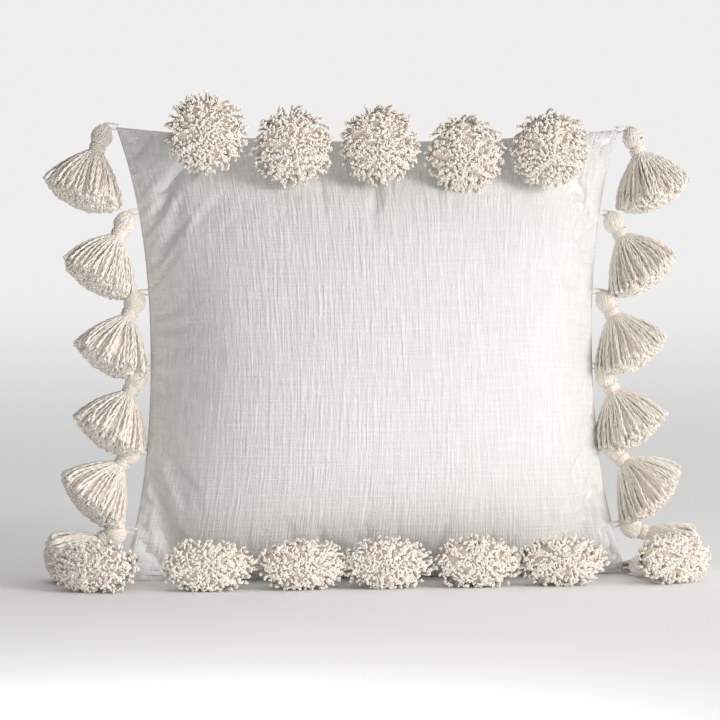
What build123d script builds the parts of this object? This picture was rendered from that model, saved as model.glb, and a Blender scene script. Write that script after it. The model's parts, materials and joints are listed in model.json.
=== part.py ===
from build123d import *
import math
import os

# Square throw pillow with a tassel border, standing on its lower edge.
# Millimetres. X runs to the viewer's right, the front faces -Y, Z is up.
# The origin is on the floor, on the centre line, inside the flat foot that it rests on.

# ---- cover ----
CORNER_HALF_WIDTH = 247.0     # centre line to a corner ear
WAIST_HALF_WIDTH = 213.0      # the sides pull in between the corners
SEAM_HEIGHT = 436.0           # bottom seam to top corners, along the leaning seam
TOP_DIP = 15.0                # the top seam sags between the corners
SEAM_LEAN = 6.6               # degrees that the seam leans back
SEAM_FOOT_Y = -34.0           # where the seam plane meets the floor
SEAM_BELOW_FLOOR = 3.0        # length of seam pressed flat on the floor
FRONT_DEPTH = 80.0            # front bulge, from the seam plane
BACK_DEPTH = 88.0             # back bulge before the zip strip flattens it
ZIP_LAND_Y = 70.0             # the zip keeps the middle of the back flat here

# ---- nesting, as a share of the cover's outer size ----
COVER_INSIDE = 0.988
TICKING_OUTSIDE = 0.980
TICKING_INSIDE = 0.972
FILL_OUTSIDE = 0.964
CLOTH = 1.0                   # cloth thickness on the flat places
ZIP_ROOM = 4.5                # depth left for the zip between cover and ticking

# ---- zip ----
ZIP_HEIGHT = 128.0            # its middle line above the floor
ZIP_HALF_LENGTH = 120.0
ZIP_OPENING = 13.0            # gap between the two back panels
TAPE_WIDTH = 14.0
TAPE_THICKNESS = 0.9
TOOTH_PITCH = 4.0
TOOTH_ROW = 3.0               # depth of one row of teeth, from the middle line
TOOTH_THICKNESS = 2.4
STOP_LENGTH = 3.0
TAPE_END = 9.0                # tape beyond the last tooth
SLIDER_LENGTH = 12.0
SLIDER_WIDTH = 11.0
PULL_LENGTH = 30.0
PULL_WIDTH = 7.0
PULL_THICKNESS = 1.2
PULL_EYE = 5.4                # hinge to the far end of the eye

# ---- tassels ----
TASSELS_PER_SIDE = 5          # between the corner tassels
HANK_LENGTH = 67.0            # hinge to cut ends
SKIRT_EDGE = 58.0             # hinge to the skirt's widest ring
HEAD_RADIUS = 10.0
NECK_RADIUS = 6.2
SKIRT_RADIUS = 29.0           # of a tassel that hangs free
LAID_SKIRT_RADIUS = 23.0      # of one that lies on the floor
BINDING_START = 21.0
BINDING_WIDTH = 6.0
BINDING_THICKNESS = 1.3
LOOP_REACH = 8.0              # seam edge to the point that the tassel swings about
CORNER_REACH = 9.5            # the same at the top corners
TOP_REACH = 10.5              # and along the top seam
TOP_FORWARD = 3.0             # how far in front of the seam the top tassels hang
LOOP_WIRE = 1.2
LOOP_RADIUS = 1.5             # middle line of the ring of cord at each tassel
LAID_LOOP_Y = 8.0             # bottom seam to the near side of a laid tassel's ring
LAID_HINGE_Y = 18.0           # bottom seam to the point that its tassels swing about
LAID_HINGE_HEIGHT = 7.8
LAID_TILT = 15.8              # degrees that a laid tassel's middle line rises to its cut ends
CLEARANCE = 0.3

# place of each side tassel down the side seam, from the corner, as a share of its height
SIDE_SHARES = (0, 0.188, 0.364, 0.532, 0.696, 0.882)
# lean of each side tassel away from straight down, from the top one to the lowest
LEFT_LEANS = (20, 27, 25, 29, 42, 68)
RIGHT_LEANS = (22, 31, 27, 27, 41, 69)
# droop of each top tassel below level, from left to right
TOP_DROOPS = (6, 13, 10, 19, 18)
# turn of each bottom tassel to the right of straight forward, from left to right
BOTTOM_TURNS = (-24, -3, 2, -1, 2, 1, 26)

NET = 8                       # spans in the control net of each half of the cover

# fullness of the cover at each row of the net: across, and from floor to top
FRONT_ACROSS = (0, 0.72, 1.00, 1.06, 1.08, 1.06, 1.00, 0.72, 0)
BACK_ACROSS = (0, 0.95, 1.30, 1.12, 1.00, 1.12, 1.30, 0.95, 0)
FRONT_UP = (0, 0.58, 1.18, 1.22, 1.10, 0.98, 0.90, 0.72, 0)
BACK_UP = (0, 0.95, 1.42, 1.22, 1.10, 0.98, 0.86, 0.62, 0)
# the back's lower rows drop to the floor and spread there
BACK_DROP = (0, 70, 66, 22, 0, 0, 0, 0, 0)

seam_plane = Plane(
    origin=(0, SEAM_FOOT_Y, 0),
    x_dir=(1, 0, 0),
    z_dir=(0, -math.cos(math.radians(SEAM_LEAN)), math.sin(math.radians(SEAM_LEAN))),
)
nest_centre = seam_plane.from_local_coords((0, SEAM_HEIGHT / 2, 0))


def half_width(rise):
    """Half the cover's width at a rise of -1 (floor) to 1 (top)."""
    return WAIST_HALF_WIDTH + (CORNER_HALF_WIDTH - WAIST_HALF_WIDTH) * abs(rise) ** 3


def flat_point(across, rise):
    """A control point of the cover in its seam plane, before it bulges."""
    bottom = -SEAM_BELOW_FLOOR
    top = SEAM_HEIGHT - TOP_DIP * (1 - across**2)
    return across * half_width(rise), bottom + (top - bottom) * (rise + 1) / 2


def control_net(width_fullness, height_fullness, drop, depth):
    """Rows of control points for one half of the cover."""
    rows = []
    for i in range(NET + 1):
        across = 2 * i / NET - 1
        row = []
        for j in range(NET + 1):
            rise = 2 * j / NET - 1
            x, y = flat_point(across, rise)
            lower = drop[j] * (1 - across**4)
            bulge = depth * width_fullness[i] * height_fullness[j]
            row.append(seam_plane.from_local_coords((x, y - lower, bulge)))
        rows.append(row)
    return rows


def cover_skin(side):
    """The curved face of the front or the back of the cover."""
    if side == "front":
        net = control_net(FRONT_ACROSS, FRONT_UP, [0] * (NET + 1), FRONT_DEPTH)
    else:
        net = control_net(BACK_ACROSS, BACK_UP, BACK_DROP, -BACK_DEPTH)
    return Face.make_bezier_surface(net)


def seam_edge(place):
    """The left, right or top edge of the seam; sides run up, the top runs right."""
    marks = [2 * i / NET - 1 for i in range(NET + 1)]
    if place == "top":
        flat = [flat_point(mark, 1) for mark in marks]
    else:
        flat = [flat_point(-1 if place == "left" else 1, mark) for mark in marks]
    return Bezier(*[seam_plane.from_local_coords((x, y, 0)) for x, y in flat])


def keep_region(floor_z, land_y):
    """A large block that keeps what is above the floor and in front of the zip strip."""
    size = 1200.0
    return Pos(0, land_y - size / 2, floor_z + size / 2) * Box(size, size, size)


def nested(solid, share, floor_z, land_y):
    """The solid at a share of its size, cut flat at the floor and at the zip strip."""
    smaller = solid if share == 1 else scale(solid, by=share, about=nest_centre)
    return smaller & keep_region(floor_z, land_y)


def cover_half(side, share, floor_z, land_y):
    skin = cover_skin(side)
    cap = Face(Wire(skin.edges()))
    return nested(Solid(Shell([skin, cap])), share, floor_z, land_y)


def whole_cushion(share, floor_z, land_y):
    shell = Shell([cover_skin("front"), cover_skin("back")])
    return nested(Solid(shell), share, floor_z, land_y)


def cover_panel(side):
    """One face of the cover: cloth only, open at the seam."""
    outside = cover_half(side, 1, 0, ZIP_LAND_Y)
    inside = cover_half(side, COVER_INSIDE, CLOTH, ZIP_LAND_Y - CLOTH)
    return outside - inside


def zip_gap():
    """The opening between the two back panels."""
    length = 2 * (ZIP_HALF_LENGTH + TOOTH_PITCH / 2 + STOP_LENGTH + 2 * CLEARANCE)
    return Pos(0, ZIP_LAND_Y, ZIP_HEIGHT) * Box(length, 6 * CLOTH, ZIP_OPENING)


def back_panels():
    panel = cover_panel("back") - zip_gap()
    middle = Plane(origin=(0, 0, ZIP_HEIGHT), z_dir=(0, 0, 1))
    upper = split(panel, bisect_by=middle, keep=Keep.TOP)
    lower = split(panel, bisect_by=middle, keep=Keep.BOTTOM)
    return upper, lower


def insert_ticking():
    """The closed bag inside the cover."""
    land = ZIP_LAND_Y - CLOTH - ZIP_ROOM
    outside = whole_cushion(TICKING_OUTSIDE, 2 * CLOTH, land)
    inside = whole_cushion(TICKING_INSIDE, 3 * CLOTH, land - CLOTH)
    return outside - inside


def fibre_fill():
    return whole_cushion(FILL_OUTSIDE, 4 * CLOTH, ZIP_LAND_Y - 3 * CLOTH - ZIP_ROOM)


# ---- zip ----

TAPE_Y = ZIP_LAND_Y - CLOTH - CLEARANCE - TAPE_THICKNESS / 2


def zip_tape(side):
    """A tape behind the edge of one back panel; side is 1 for upper, -1 for lower."""
    middle = ZIP_HEIGHT + side * (TOOTH_ROW + TAPE_WIDTH / 2)
    length = 2 * (ZIP_HALF_LENGTH + TAPE_END)
    return Pos(0, TAPE_Y, middle) * Box(length, TAPE_THICKNESS, TAPE_WIDTH)


def tooth_row(side):
    """One row of meshed teeth, a toothed strip against its tape."""
    tip = 0.9
    gap = 0.15
    count = int(2 * ZIP_HALF_LENGTH / TOOTH_PITCH)
    outline = [(-ZIP_HALF_LENGTH, side * TOOTH_ROW)]
    for i in range(count):
        start = -ZIP_HALF_LENGTH + i * TOOTH_PITCH
        if side < 0:
            start += TOOTH_PITCH / 2
        outline.append((start + gap, side * tip))
        outline.append((start + gap + 0.2, -side * tip))
        outline.append((start + TOOTH_PITCH / 2 - gap - 0.2, -side * tip))
        outline.append((start + TOOTH_PITCH / 2 - gap, side * tip))
    outline.append((ZIP_HALF_LENGTH + TOOTH_PITCH / 2, side * TOOTH_ROW))
    face = make_face(Polyline(*outline, close=True))
    strip = extrude(face, amount=TOOTH_THICKNESS / 2, both=True)
    return Pos(0, TAPE_Y + 0.3, ZIP_HEIGHT) * Rot(90, 0, 0) * strip


def zip_stops():
    """A crimped block across both rows at each end."""
    place = ZIP_HALF_LENGTH + TOOTH_PITCH / 2 + STOP_LENGTH / 2 + CLEARANCE
    block = Box(STOP_LENGTH, TOOTH_THICKNESS, 2 * TOOTH_ROW)
    block = fillet(block.edges().filter_by(Axis.Y), 0.8)
    return [Pos(x, TAPE_Y + 0.3, ZIP_HEIGHT) * block for x in (-place, place)]


SLIDER_X = ZIP_HALF_LENGTH - SLIDER_LENGTH
SLIDER_TOP_Y = TAPE_Y + 0.3 + TOOTH_THICKNESS / 2 + CLEARANCE
SLIDER_PLATE = 1.3
PULL_HINGE_Y = SLIDER_TOP_Y + SLIDER_PLATE + 1.5


def zip_slider():
    """Channel over the teeth, bridge for the pull, and a plate behind the teeth."""
    side_depth = SLIDER_TOP_Y - (TAPE_Y + TAPE_THICKNESS / 2 + CLEARANCE)
    plate = Box(SLIDER_LENGTH, SLIDER_PLATE, SLIDER_WIDTH)
    plate = fillet(plate.edges().filter_by(Axis.Y), 2.2)
    outer = Pos(0, SLIDER_TOP_Y + SLIDER_PLATE / 2, 0) * plate
    lip_width = SLIDER_WIDTH / 2 - TOOTH_ROW - CLEARANCE
    lip = Box(SLIDER_LENGTH - 5.0, side_depth, lip_width)
    for side in (-1, 1):
        lip_z = side * (TOOTH_ROW + CLEARANCE + lip_width / 2)
        outer += Pos(0, SLIDER_TOP_Y - side_depth / 2, lip_z) * lip
    for end in (-1, 1):
        foot_y = SLIDER_TOP_Y + SLIDER_PLATE + 1.5
        outer += Pos(end * 3.4, foot_y, 0) * Box(1.4, 3.0, 2.4)
    outer += Pos(0, SLIDER_TOP_Y + SLIDER_PLATE + 3.5, 0) * Box(8.2, 1.2, 2.4)
    inner_y = TAPE_Y - TAPE_THICKNESS / 2 - CLEARANCE - SLIDER_PLATE
    inner = Pos(0, inner_y, 0) * plate
    place = Pos(SLIDER_X, 0, ZIP_HEIGHT)
    return [place * outer, place * inner]


def zip_pull():
    """Tab with an eye round the slider's bridge; its round end bar turns under the bridge."""
    half = PULL_THICKNESS / 2
    tab = Pos(-PULL_LENGTH / 2, 0, 0) * Box(PULL_LENGTH, PULL_THICKNESS, PULL_WIDTH)
    tab = fillet(tab.edges().filter_by(Axis.Y).sort_by(Axis.X)[:2], 2.5)
    tab -= Pos(-PULL_EYE / 2, 0, 0) * Box(PULL_EYE, 3.0, 3.6)
    tab += Cylinder(half, PULL_WIDTH)
    tab -= Pos(-PULL_LENGTH + 3.4, 0, 0) * Cylinder(1.2, 3.0, rotation=(90, 0, 0))
    return Pos(SLIDER_X, PULL_HINGE_Y, ZIP_HEIGHT) * tab


# ---- tassels ----


class Hanger:
    """Where one tassel hangs: seam edge, hinge, direction, width, joint axis and size."""

    def __init__(self, name, edge, hinge, along, wide, axis, laid=False):
        self.name = name
        self.edge = Vector(edge)
        self.hinge = Vector(hinge)
        self.along = Vector(along).normalized()
        self.wide = Vector(wide).normalized()
        self.axis = Vector(axis).normalized()
        self.skirt_radius = LAID_SKIRT_RADIUS if laid else SKIRT_RADIUS


def in_seam(x, y):
    """A direction in the seam plane: x across, y up the seam."""
    return seam_plane.x_dir * x + seam_plane.y_dir * y


def side_hanger(side, index, lean):
    """Tassel on a side seam; side is -1 left or 1 right, index 0 is the top corner."""
    rise = 1 - SIDE_SHARES[index]
    seam = seam_edge("left" if side < 0 else "right")
    edge = seam @ rise
    outward = (seam % rise).cross(seam_plane.z_dir) * (side * LOOP_REACH)
    if index == 0:
        outward = in_seam(side * CORNER_REACH, 2.0)
    angle = math.radians(lean)
    along = in_seam(side * math.sin(angle), -math.cos(angle))
    name = ("left" if side < 0 else "right") + (f"_{index}" if index else "_top_corner")
    return Hanger(
        name, edge, edge + outward, along, seam_plane.z_dir,
        seam_plane.y_dir * -side, laid=index == TASSELS_PER_SIDE,
    )


def top_hanger(index, droop):
    edge = seam_edge("top") @ ((index + 1) / (TASSELS_PER_SIDE + 1))
    angle = math.radians(droop)
    along = (0, -math.cos(angle), -math.sin(angle))
    hinge = edge + in_seam(0, TOP_REACH) + seam_plane.z_dir * TOP_FORWARD
    return Hanger(f"top_{index + 1}", edge, hinge, along, (1, 0, 0), (-1, 0, 0))


def bottom_hanger(index, turn):
    """Tassel that lies on the floor in front; 0 and the last are the corners."""
    last = TASSELS_PER_SIDE + 1
    across = 2 * index / last - 1
    x = across * CORNER_HALF_WIDTH
    tilt = math.radians(LAID_TILT)
    swing = math.radians(turn)
    forward = Vector(math.sin(swing), -math.cos(swing), 0)
    edge = Vector(x, SEAM_FOOT_Y - LAID_LOOP_Y, LOOP_WIRE)
    hinge = Vector(x, SEAM_FOOT_Y - LAID_HINGE_Y, LAID_HINGE_HEIGHT)
    along = forward * math.cos(tilt) + Vector(0, 0, math.sin(tilt))
    wide = Vector(math.cos(swing), math.sin(swing), 0)
    names = {0: "bottom_left_corner", last: "bottom_right_corner"}
    name = names.get(index, f"bottom_{index}")
    return Hanger(name, edge, hinge, along, wide, (0, 0, 1), laid=True)


def all_hangers():
    hangers = [side_hanger(-1, i, lean) for i, lean in enumerate(LEFT_LEANS)]
    hangers += [side_hanger(1, i, lean) for i, lean in enumerate(RIGHT_LEANS)]
    hangers += [top_hanger(i, droop) for i, droop in enumerate(TOP_DROOPS)]
    hangers += [bottom_hanger(i, turn) for i, turn in enumerate(BOTTOM_TURNS)]
    return hangers


def placed(solid, hanger):
    """Set a tassel piece, drawn along +Z from its hinge, on its hanger."""
    plane = Plane(origin=hanger.hinge, x_dir=hanger.wide, z_dir=hanger.along)
    return plane.location * solid


def hank(skirt_radius):
    """Round head, straight neck and spreading skirt, one folded hank of yarn."""
    neck_end = BINDING_START + BINDING_WIDTH + 0.5
    head = Spline(
        (0, 0, 0.8), (HEAD_RADIUS * 0.8, 0, 4.6), (HEAD_RADIUS, 0, 11.0),
        (NECK_RADIUS, 0, BINDING_START - 0.5),
        tangents=[(1, 0, 0.1), (-0.7, 0, 1)],
    )
    neck = Line((NECK_RADIUS, 0, BINDING_START - 0.5), (NECK_RADIUS, 0, neck_end))
    skirt = Spline(
        (NECK_RADIUS, 0, neck_end), (skirt_radius * 0.76, 0, SKIRT_EDGE * 0.76),
        (skirt_radius, 0, SKIRT_EDGE), tangents=[(0.6, 0, 1), (0.1, 0, 1)],
    )
    ends = Spline(
        (skirt_radius, 0, SKIRT_EDGE), (skirt_radius * 0.8, 0, HANK_LENGTH - 2.5),
        (0, 0, HANK_LENGTH), tangents=[(0.1, 0, 1), (-1, 0, 0)],
    )
    axis_line = Line((0, 0, HANK_LENGTH), (0, 0, 0.8))
    profile = make_face([head, neck, skirt, ends, axis_line])
    return revolve(profile, axis=Axis.Z)


def binding():
    """Yarn wound round the neck."""
    radius = NECK_RADIUS + 0.1
    middle = BINDING_START + BINDING_WIDTH / 2
    ring = Cylinder(radius + BINDING_THICKNESS, BINDING_WIDTH) - Cylinder(radius, 20)
    return Pos(0, 0, middle) * ring


def hanging_loop(hanger):
    """Ring of cord against the seam edge, short of the tassel's head."""
    reach = (hanger.hinge - hanger.edge).normalized()
    across = hanger.axis.cross(reach)
    if hanger.name.startswith(("bottom", "top")):
        across = reach.cross(Vector(1, 0, 0))
    middle = hanger.edge + reach * (LOOP_RADIUS + LOOP_WIRE / 2 + CLEARANCE)
    plane = Plane(origin=middle, x_dir=reach, z_dir=across)
    return plane.location * Torus(LOOP_RADIUS, LOOP_WIRE / 2)


def pieces():
    """Every sub-part of the pillow by node name."""
    upper, lower = back_panels()
    hangers = all_hangers()
    parts = {
        "front_panel": cover_panel("front"),
        "back_panel_upper": upper,
        "back_panel_lower": lower,
        "insert_ticking": insert_ticking(),
        "fibre_fill": fibre_fill(),
        "zip_tape_upper": zip_tape(1),
        "zip_tape_lower": zip_tape(-1),
        "zip_teeth": Compound(children=[tooth_row(1), tooth_row(-1)]),
        "zip_stops": Compound(children=zip_stops()),
        "zip_slider": Compound(children=zip_slider()),
        "zip_pull": zip_pull(),
        "hanging_loops": Compound(children=[hanging_loop(h) for h in hangers]),
    }
    for hanger in hangers:
        parts[f"tassel_{hanger.name}"] = placed(hank(hanger.skirt_radius), hanger)
        parts[f"binding_{hanger.name}"] = placed(binding(), hanger)
    return parts


def write_parts():
    os.makedirs("parts", exist_ok=True)
    for name, piece in pieces().items():
        export_step(piece, f"parts/{name}.step")


write_parts()
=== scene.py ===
"""Looks of a square throw pillow with a tassel border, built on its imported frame. Metres."""
import json
import math

import bpy
import numpy as np
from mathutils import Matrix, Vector
from mathutils.bvhtree import BVHTree

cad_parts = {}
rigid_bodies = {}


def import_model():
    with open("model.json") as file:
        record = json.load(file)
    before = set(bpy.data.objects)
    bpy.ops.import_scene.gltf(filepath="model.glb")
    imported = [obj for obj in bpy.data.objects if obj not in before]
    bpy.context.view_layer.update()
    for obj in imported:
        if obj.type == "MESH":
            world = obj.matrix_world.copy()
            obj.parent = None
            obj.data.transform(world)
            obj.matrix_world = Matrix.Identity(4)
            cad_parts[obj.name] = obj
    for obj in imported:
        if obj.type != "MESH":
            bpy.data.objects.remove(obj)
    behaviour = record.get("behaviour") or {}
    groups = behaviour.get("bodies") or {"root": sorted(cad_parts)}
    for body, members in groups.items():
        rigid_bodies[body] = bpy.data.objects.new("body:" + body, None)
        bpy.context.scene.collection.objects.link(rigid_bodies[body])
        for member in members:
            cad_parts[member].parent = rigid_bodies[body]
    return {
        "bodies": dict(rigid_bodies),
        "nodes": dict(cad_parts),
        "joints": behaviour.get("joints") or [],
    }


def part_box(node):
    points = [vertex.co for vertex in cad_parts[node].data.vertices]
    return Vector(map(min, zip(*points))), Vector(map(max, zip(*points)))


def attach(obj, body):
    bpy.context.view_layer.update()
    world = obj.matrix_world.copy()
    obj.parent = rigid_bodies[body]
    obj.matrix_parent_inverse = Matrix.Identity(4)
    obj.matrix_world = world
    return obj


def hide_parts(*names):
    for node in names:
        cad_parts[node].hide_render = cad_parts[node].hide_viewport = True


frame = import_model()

bl_info = {
    "name": "Tassel Pillow",
    "version": (1, 0, 0),
    "blender": (4, 5, 0),
    "location": "View3D > Sidebar > Pillow",
    "description": "Sewn slub cotton pillow with yarn tassels and a back zip",
    "category": "Object",
}

MM = 0.001
ACROSS = np.array([1.0, 0, 0])
DOWN = np.array([0, 0, -1.0])
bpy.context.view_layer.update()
HINGES = {j["child"]: j for j in frame["joints"] if j["type"] == "hinge"}
TASSELS = [name for name in frame["bodies"] if name.startswith("tassel_")]
made = {}   # grids and places that one operator leaves for the next


# ---- numbers and grids ----


def bernstein(count, place):
    """Weights of count + 1 control points at each place from 0 to 1."""
    place = np.asarray(place, float)[:, None]
    k = np.arange(count + 1)[None, :]
    ways = np.array([math.comb(count, i) for i in range(count + 1)], float)
    return ways * place**k * (1 - place) ** (count - k)


def cubic_weights(place, count):
    """Four neighbouring indices and their weights, for a smooth curve through a row of points."""
    low = np.clip(np.floor(place).astype(int), 0, count - 2)
    t = (place - low)[..., None]
    index = low[..., None] + np.arange(-1, 3)
    weight = 0.5 * np.concatenate(
        [
            -(t**3) + 2 * t**2 - t,
            3 * t**3 - 5 * t**2 + 2,
            -3 * t**3 + 4 * t**2 + t,
            t**3 - t**2,
        ],
        axis=-1,
    )
    return np.clip(index, 0, count - 1), weight


def sampled(grid, across, up):
    """A grid of points or numbers read smoothly at shares from 0 to 1 of its width and height."""
    rows, columns = grid.shape[:2]
    i, wi = cubic_weights(np.asarray(across, float) * (rows - 1), rows)
    j, wj = cubic_weights(np.asarray(up, float) * (columns - 1), columns)
    near = grid[i[..., :, None], j[..., None, :]]
    if grid.ndim == 3:
        return np.einsum("...a,...b,...abc->...c", wi, wj, near)
    return np.einsum("...a,...b,...ab->...", wi, wj, near)


def streaks(across, up, width, length, size, seed):
    """Smooth random height from -1 to 1: blotches width by length on cloth of that size."""
    rng = np.random.default_rng(seed)
    columns = int(size / width) + 3
    rows = int(size / length) + 3
    lattice = rng.uniform(-1, 1, (columns, rows))
    return sampled(lattice, across * (size / width) / columns, up * (size / length) / rows)


def grid_normals(grid):
    """Unit normals of a grid of points; they point away from the cushion on the front."""
    across = np.gradient(grid, axis=0)
    up = np.gradient(grid, axis=1)
    normal = np.cross(across, up)
    length = np.linalg.norm(normal, axis=-1, keepdims=True)
    return normal / np.maximum(length, 1e-12)


def eased(value, low, high):
    """0 below low, 1 above high, smooth between."""
    t = np.clip((value - low) / (high - low), 0, 1)
    return t * t * (3 - 2 * t)


# ---- meshes ----


def mesh_object(name, points, faces, attributes=()):
    """A smooth-shaded mesh; faces is a list of integer arrays, each with one row per face."""
    mesh = bpy.data.meshes.new(name)
    points = np.asarray(points, np.float32).reshape(-1, 3)
    mesh.vertices.add(len(points))
    mesh.vertices.foreach_set("co", points.ravel())
    corners = np.concatenate([np.asarray(f, np.int32).ravel() for f in faces])
    counts = np.concatenate([np.full(len(f), np.shape(f)[1], np.int32) for f in faces])
    starts = np.concatenate([[0], np.cumsum(counts)[:-1]]).astype(np.int32)
    mesh.loops.add(len(corners))
    mesh.loops.foreach_set("vertex_index", corners)
    mesh.polygons.add(len(counts))
    mesh.polygons.foreach_set("loop_start", starts)
    mesh.polygons.foreach_set("use_smooth", np.ones(len(counts), bool))
    mesh.update(calc_edges=True)
    for label, kind, values in attributes:
        made_attribute = mesh.attributes.new(label, kind, "POINT")
        field = "vector" if kind == "FLOAT_VECTOR" else "value"
        made_attribute.data.foreach_set(field, np.asarray(values, np.float32).ravel())
    mesh.validate()
    obj = bpy.data.objects.new(name, mesh)
    bpy.context.scene.collection.objects.link(obj)
    return obj


def index_quads(index):
    """Quads between the neighbours in a grid of vertex indices."""
    return np.stack(
        [index[:-1, :-1], index[1:, :-1], index[1:, 1:], index[:-1, 1:]], axis=-1
    ).reshape(-1, 4)


def finish_piece(obj, body, finish, nodes=()):
    """Give a piece its material and body, and hide the CAD nodes it stands for."""
    obj.data.materials.clear()
    obj.data.materials.append(finish_called(finish))
    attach(obj, body)
    if nodes:
        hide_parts(*nodes)
    return obj


def length_along(paths):
    """Length from the start of each path to each of its points."""
    steps = np.linalg.norm(np.diff(paths, axis=1), axis=-1)
    return np.concatenate([np.zeros((len(paths), 1)), np.cumsum(steps, axis=1)], axis=1)


def directions(paths):
    """Unit direction of each path at each of its points."""
    whole = paths[:, -1:] - paths[:, :1]
    whole = whole / np.maximum(np.linalg.norm(whole, axis=-1, keepdims=True), 1e-12)
    tangent = np.gradient(paths, axis=1)
    length = np.linalg.norm(tangent, axis=-1, keepdims=True)
    return np.where(length > 1e-7, tangent / np.maximum(length, 1e-12), whole)


def tube_rings(paths, radii, sides):
    """Vertices and quads of many tubes: paths is tubes x points x 3, radii tubes x points."""
    tubes, points = paths.shape[:2]
    tangent = directions(paths)
    helper = np.where(np.abs(tangent[:, :1, 2:]) < 0.8, [[[0.0, 0, 1]]], [[[1.0, 0, 0]]])
    side = np.cross(tangent, np.broadcast_to(helper, tangent.shape))
    side /= np.maximum(np.linalg.norm(side, axis=-1, keepdims=True), 1e-12)
    other = np.cross(tangent, side)
    turn = np.arange(sides) * 2 * math.pi / sides
    ring = (
        side[:, :, None] * np.cos(turn)[None, None, :, None]
        + other[:, :, None] * np.sin(turn)[None, None, :, None]
    )
    verts = paths[:, :, None] + ring * radii[:, :, None, None]
    index = np.arange(tubes * points * sides).reshape(tubes, points, sides)
    after = np.roll(index, -1, axis=2)
    quads = np.stack(
        [index[:, :-1], after[:, :-1], after[:, 1:], index[:, 1:]], axis=-1
    ).reshape(-1, 4)
    caps = np.concatenate([index[:, 0, ::-1], index[:, -1]]).reshape(-1, sides)
    return verts.reshape(-1, 3), quads, caps


def joined_tubes(name, groups, solids=()):
    """One object from groups of tubes; each group is (paths, radii, tone per tube, sides).

    Each of the solids is (points, list of face arrays) and joins the same mesh, with tone 0, the
    darkest yarn colour, as painted shade.
    """
    points, faces, places, tones_and_shade = [], [], [], []
    first = 0
    for paths, radii, tone, sides in groups:
        verts, quad, cap = tube_rings(paths, radii, sides)
        tubes, count = paths.shape[:2]
        run = length_along(paths)
        place = np.zeros((tubes, count, sides, 3))
        place[..., 0] = np.arange(sides) / sides * 0.004
        place[..., 1] = run[:, :, None]
        place[..., 2] = (np.arange(tubes)[:, None, None] + first * 0.37) * 0.013
        points.append(verts)
        faces += [quad + first, cap + first]
        places.append(place.reshape(-1, 3))
        tones_and_shade.append(np.broadcast_to(tone[:, None, None], (tubes, count, sides)).ravel())
        first += len(verts)
    for verts, solid_faces in solids:
        points.append(verts)
        faces += [f + first for f in solid_faces]
        places.append(verts * (1, 0.3, 1))
        # Painted shade: solids take tone 0, the darkest tan yarn colour, as shadowed fibres seen
        # between the yarns.
        tones_and_shade.append(np.zeros(len(verts)))
        first += len(verts)
    return mesh_object(
        name,
        np.concatenate(points),
        faces,
        [
            ("yarn_place", "FLOAT_VECTOR", np.concatenate(places)),
            ("yarn_tone", "FLOAT", np.concatenate(tones_and_shade)),
        ],
    )


# ---- settings ----


class PillowCover(bpy.types.PropertyGroup):
    corner_half_width: bpy.props.FloatProperty(
        name="Corner half width", description="Centre line to a corner ear",
        default=0.247, unit="LENGTH")
    waist_half_width: bpy.props.FloatProperty(
        name="Waist half width", description="Centre line to the drawn-in side",
        default=0.213, unit="LENGTH")
    seam_height: bpy.props.FloatProperty(
        name="Seam height", description="Floor to top corners along the seam",
        default=0.436, unit="LENGTH")
    top_dip: bpy.props.FloatProperty(
        name="Top dip", description="Sag of the top seam between the corners",
        default=0.015, unit="LENGTH")
    lean: bpy.props.FloatProperty(
        name="Lean", description="How far the seam leans back",
        default=math.radians(6.6), subtype="ANGLE")
    foot: bpy.props.FloatProperty(
        name="Foot", description="Front to back place of the bottom seam",
        default=-0.034, unit="LENGTH")
    below_floor: bpy.props.FloatProperty(
        name="Pressed seam", description="Length of seam pressed flat on the floor",
        default=0.003, unit="LENGTH")
    front_depth: bpy.props.FloatProperty(
        name="Front depth", description="Bulge of the front", default=0.080, unit="LENGTH")
    back_depth: bpy.props.FloatProperty(
        name="Back depth", description="Bulge of the back", default=0.088, unit="LENGTH")
    flat_size: bpy.props.FloatProperty(
        name="Flat size", description="Seam to seam of the flat cover",
        default=0.508, unit="LENGTH")
    thickness: bpy.props.FloatProperty(
        name="Cloth thickness", description="Thickness of the slub cotton",
        default=0.0009, unit="LENGTH")
    fullness: bpy.props.FloatProperty(
        name="Ease", description="Extra cloth that gathers at the seams",
        default=0.035, subtype="FACTOR")
    pressure: bpy.props.FloatProperty(
        name="Filling pressure", description="Push of the filling on the cover", default=4.0)
    most_swell: bpy.props.FloatProperty(
        name="Most swell", description="Furthest that the filling may push the cloth",
        default=0.014, unit="LENGTH")
    colour: bpy.props.FloatVectorProperty(
        name="Cotton colour", description="Colour of the slub cotton",
        default=(0.84, 0.832, 0.815), size=3, subtype="COLOR")


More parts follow.
